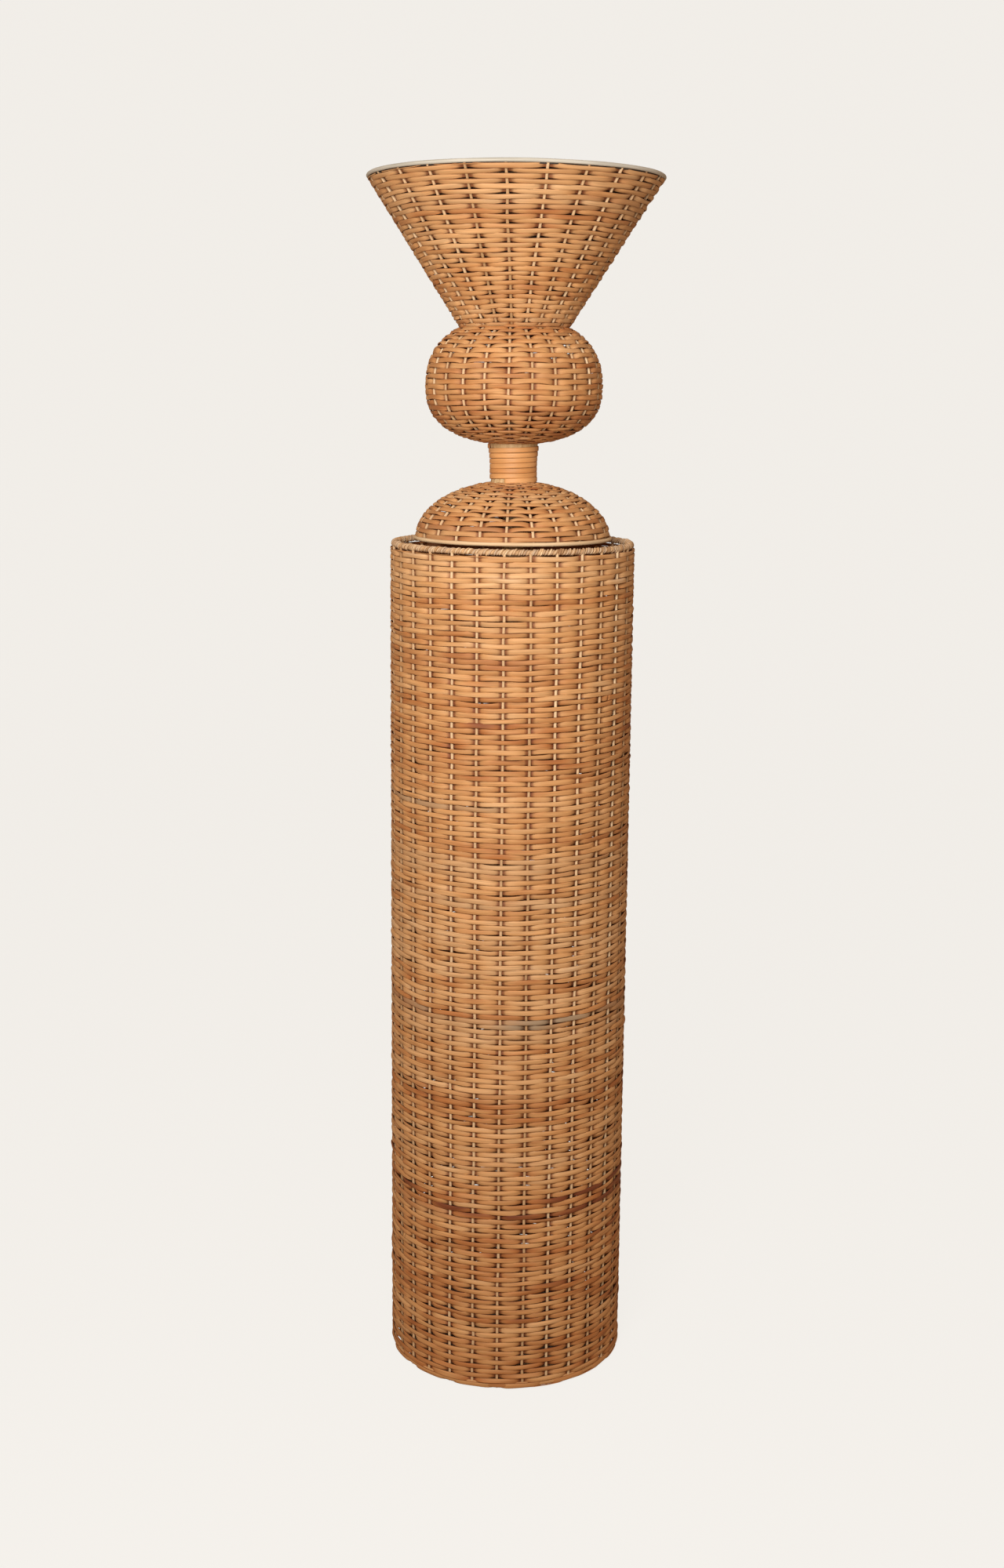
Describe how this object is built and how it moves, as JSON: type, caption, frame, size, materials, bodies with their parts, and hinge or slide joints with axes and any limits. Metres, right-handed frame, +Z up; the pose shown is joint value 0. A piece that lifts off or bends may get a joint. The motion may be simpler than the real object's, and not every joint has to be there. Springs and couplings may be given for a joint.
{
  "type": "woven torch",
  "caption": "Tall woven rattan torch: a hollow basket column with a lift-off head of dome, bound neck, ball and flared bowl round a wick lamp with a snuffer.",
  "frame": {"origin": "on the floor at the centre of the column", "axes": "+Z up the torch; the torch is round, and +Y points away from the viewer of its front"},
  "size_m": [0.3722, 0.3722, 1.5556],
  "materials": {
    "split_rattan": "satin, split rattan, unvarnished",
    "round_rattan": "pale peeled rattan core",
    "rolled_rattan": "greyed, fibrous",
    "cane_binding": "smooth skin of cane",
    "peeled_pole": "peeled rattan pole",
    "turned_wood": "plain turned softwood",
    "plywood": "unpainted plywood",
    "concrete": "cast, rough",
    "rubber": "matte",
    "steel": "zinc plated",
    "tinned_sheet": "satin tinned sheet",
    "stove_enamel": "black stove enamel, half matt",
    "brass": "satin",
    "wick_fibre": "braided fibre"
  },
  "bodies": {
    "column": {"column_weave": "split_rattan", "column_stakes": "round_rattan", "column_border": "rolled_rattan", "base_board": "plywood", "top_board": "plywood", "ballast_slab": "concrete", "pole_socket": "turned_wood", "upright_1": "peeled_pole", "frame_hoop_1": "peeled_pole", "glide_1": "rubber", "glide_screw_1": "steel", "base_screw_1": "steel", "top_screw_1": "steel", "upright_2": "peeled_pole", "frame_hoop_2": "peeled_pole", "glide_2": "rubber", "glide_screw_2": "steel", "base_screw_2": "steel", "top_screw_2": "steel", "upright_3": "peeled_pole", "frame_hoop_3": "peeled_pole", "glide_3": "rubber", "glide_screw_3": "steel", "base_screw_3": "steel", "top_screw_3": "steel", "upright_4": "peeled_pole", "frame_hoop_4": "peeled_pole", "glide_4": "rubber", "glide_screw_4": "steel", "base_screw_4": "steel", "top_screw_4": "steel"},
    "torch_head": {"centre_pole": "peeled_pole", "dome_board": "plywood", "dome_ring": "round_rattan", "dome_weave": "split_rattan", "neck_core": "turned_wood", "neck_binding": "cane_binding", "ball_weave": "split_rattan", "ball_hoop": "peeled_pole", "cone_weave": "split_rattan", "waist_hoop": "peeled_pole", "rim_ring": "round_rattan", "canister_tray": "steel", "tray_screw": "steel", "liner": "stove_enamel"},
    "canister": {"fuel_canister": "tinned_sheet"},
    "burner": {"burner_plate": "brass", "gasket": "rubber"},
    "clamp_collar": {"burner_collar": "brass"},
    "wick_strand": {"wick": "wick_fibre"},
    "snuffer_cap": {"snuffer": "tinned_sheet", "snuffer_knob": "brass"}
  },
  "joints": [
    {"name": "head_lift", "type": "slide", "parent": "column", "child": "torch_head", "axis": [0, 0, 1], "range_m": [0, 0.15]},
    {"name": "canister_lift", "type": "slide", "parent": "torch_head", "child": "canister", "axis": [0, 0, 1], "range_m": [0, 0.18]},
    {"name": "burner_lift", "type": "slide", "parent": "canister", "child": "burner", "axis": [0, 0, 1], "range_m": [0, 0.11]},
    {"name": "collar_turn", "type": "hinge", "parent": "burner", "child": "clamp_collar", "pos_m": [0, 0, 1.4795], "axis": [0, 0, 1], "range_deg": [0, 900]},
    {"name": "wick_raise", "type": "slide", "parent": "burner", "child": "wick_strand", "axis": [0, 0, 1], "range_m": [0, 0.015]},
    {"name": "snuffer_lift", "type": "slide", "parent": "burner", "child": "snuffer_cap", "axis": [0, 0, 1], "range_m": [0, 0.06]}
  ]
}
